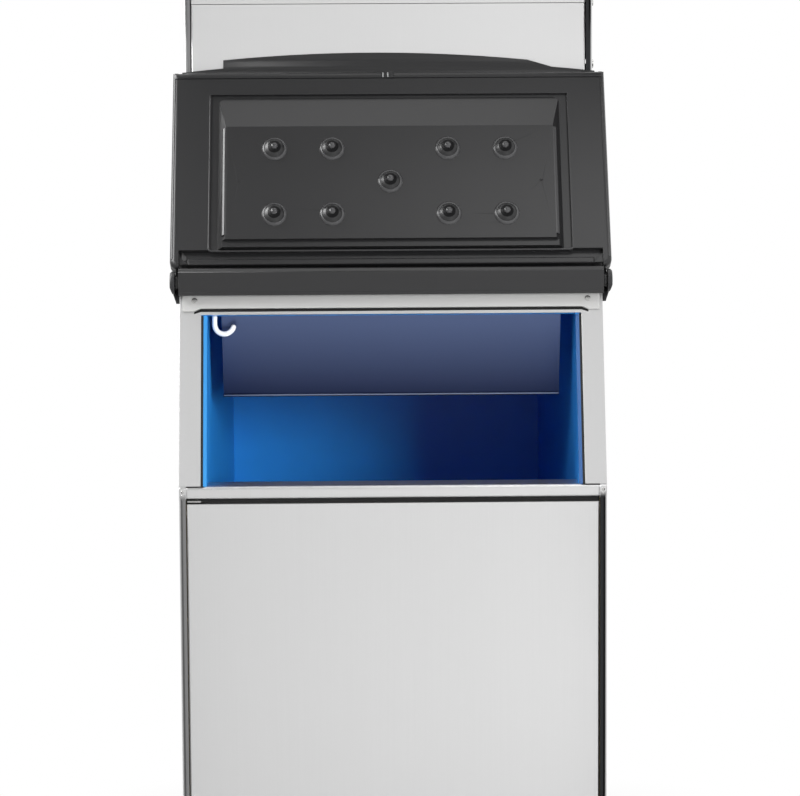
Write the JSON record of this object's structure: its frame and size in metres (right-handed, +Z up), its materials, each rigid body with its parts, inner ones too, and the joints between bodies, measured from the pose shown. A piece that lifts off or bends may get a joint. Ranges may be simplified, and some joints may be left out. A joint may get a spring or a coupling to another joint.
{
  "type": "ice machine",
  "caption": "Commercial ice machine: stainless storage bin with a dark flip-up door, blue liner and sill, an ice-making head on its deck, on four legs.",
  "frame": {"origin": "centre of the bounding box at floor level, under the four feet", "axes": "+Z up, the door side faces -Y, +X to the right as seen from the front; the rest pose has the door open"},
  "size_m": [0.586, 0.86, 1.506],
  "materials": {
    "stainless": "fine horizontal brushing",
    "galvanised": "galvanised sheet, matt",
    "baffle_metal": "satin",
    "bright_steel": "polished",
    "hinge_grey": "satin grey moulding",
    "blue_liner": "smooth moulded polyethylene",
    "foam": "foamed in place",
    "dark_moulding": "semi-gloss moulding",
    "hook_wire": "dipped wire",
    "light_plastic": "smooth moulding",
    "black_plastic": "fine texture",
    "tinned": "nickel plated",
    "copper": "drawn copper tube",
    "black_enamel": "gloss enamel",
    "rubber": "matt",
    "fins": "pressed fins",
    "brass": "turned"
  },
  "bodies": {
    "cabinet": {"bin_back_panel": "galvanised", "bin_base_pan": "galvanised", "bin_drain": "light_plastic", "bin_front_panel": "stainless", "bin_insulation": "foam", "bin_liner": "blue_liner", "bin_side_left": "stainless", "bin_side_right": "stainless", "bin_sill": "stainless", "bin_top_deck": "stainless", "compressor": "black_enamel", "compressor_mounts": "rubber", "condenser": "fins", "control_box": "galvanised", "control_fascia": "black_plastic", "evaporator_coil": "copper", "evaporator_frame": "light_plastic", "evaporator_plate": "tinned", "fan_motor": "black_enamel", "fan_shroud": "galvanised", "head_back": "galvanised", "head_chassis": "galvanised", "head_drain": "light_plastic", "head_front_lower": "stainless", "head_front_upper": "stainless", "head_side_left": "stainless", "head_side_right": "stainless", "head_top": "stainless", "header_trim": "stainless", "hinge_bracket_left": "hinge_grey", "hinge_bracket_right": "hinge_grey", "hinge_hood": "dark_moulding", "hinge_pins": "bright_steel", "ice_baffle": "baffle_metal", "legs": "bright_steel", "opening_frame": "stainless", "panel_screws": "bright_steel", "partition": "galvanised", "power_gland": "bright_steel", "refrigerant_lines": "copper", "scoop_hook": "hook_wire", "trim_seals": "rubber", "water_distributor": "light_plastic", "water_inlet": "brass", "water_pump": "black_enamel", "water_trough": "light_plastic"},
    "door": {"door_outer_shell": "dark_moulding", "door_inner_panel": "dark_moulding", "door_insulation": "foam", "door_screws": "black_plastic"},
    "ice_curtain": {"curtain": "light_plastic"},
    "fan": {"fan_blade": "black_plastic"},
    "float": {"water_float": "light_plastic"},
    "rocker": {"power_rocker": "black_plastic"},
    "up_button": {"button_up": "black_plastic"},
    "down_button": {"button_down": "black_plastic"},
    "foot_fl": {"foot_front_left": "black_plastic"},
    "foot_fr": {"foot_front_right": "black_plastic"},
    "foot_rl": {"foot_rear_left": "black_plastic"},
    "foot_rr": {"foot_rear_right": "black_plastic"}
  },
  "joints": [
    {"name": "door_hinge", "type": "hinge", "parent": "cabinet", "child": "door", "pos_m": [0, -0.36227, 0.9465], "axis": [1, 0, 0], "range_deg": [0, 190]},
    {"name": "curtain_pivot", "type": "hinge", "parent": "cabinet", "child": "ice_curtain", "pos_m": [-0.095, -0.04006, 1.44], "axis": [-1, 0, 0], "range_deg": [0, 24]},
    {"name": "fan_spin", "type": "hinge", "parent": "cabinet", "child": "fan", "pos_m": [0.172, 0.35394, 1.126], "axis": [0, 1, 0], "continuous": true},
    {"name": "float_lift", "type": "slide", "parent": "cabinet", "child": "float", "axis": [0, 0, 1], "range_m": [0, 0.02]},
    {"name": "power_switch", "type": "hinge", "parent": "cabinet", "child": "rocker", "pos_m": [0.224, -0.19906, 1.42], "axis": [1, 0, 0], "range_deg": [0, 20]},
    {"name": "up_press", "type": "slide", "parent": "cabinet", "child": "up_button", "axis": [0, 1, 0], "range_m": [0, 0.0015], "stiffness_N_per_m": 300},
    {"name": "down_press", "type": "slide", "parent": "cabinet", "child": "down_button", "axis": [0, 1, 0], "range_m": [0, 0.0015], "stiffness_N_per_m": 300},
    {"name": "foot_fl_screw", "type": "slide", "parent": "cabinet", "child": "foot_fl", "axis": [0, 0, 1], "range_m": [-0.015, 0.015]},
    {"name": "foot_fr_screw", "type": "slide", "parent": "cabinet", "child": "foot_fr", "axis": [0, 0, 1], "range_m": [-0.015, 0.015]},
    {"name": "foot_rl_screw", "type": "slide", "parent": "cabinet", "child": "foot_rl", "axis": [0, 0, 1], "range_m": [-0.015, 0.015]},
    {"name": "foot_rr_screw", "type": "slide", "parent": "cabinet", "child": "foot_rr", "axis": [0, 0, 1], "range_m": [-0.015, 0.015]}
  ]
}
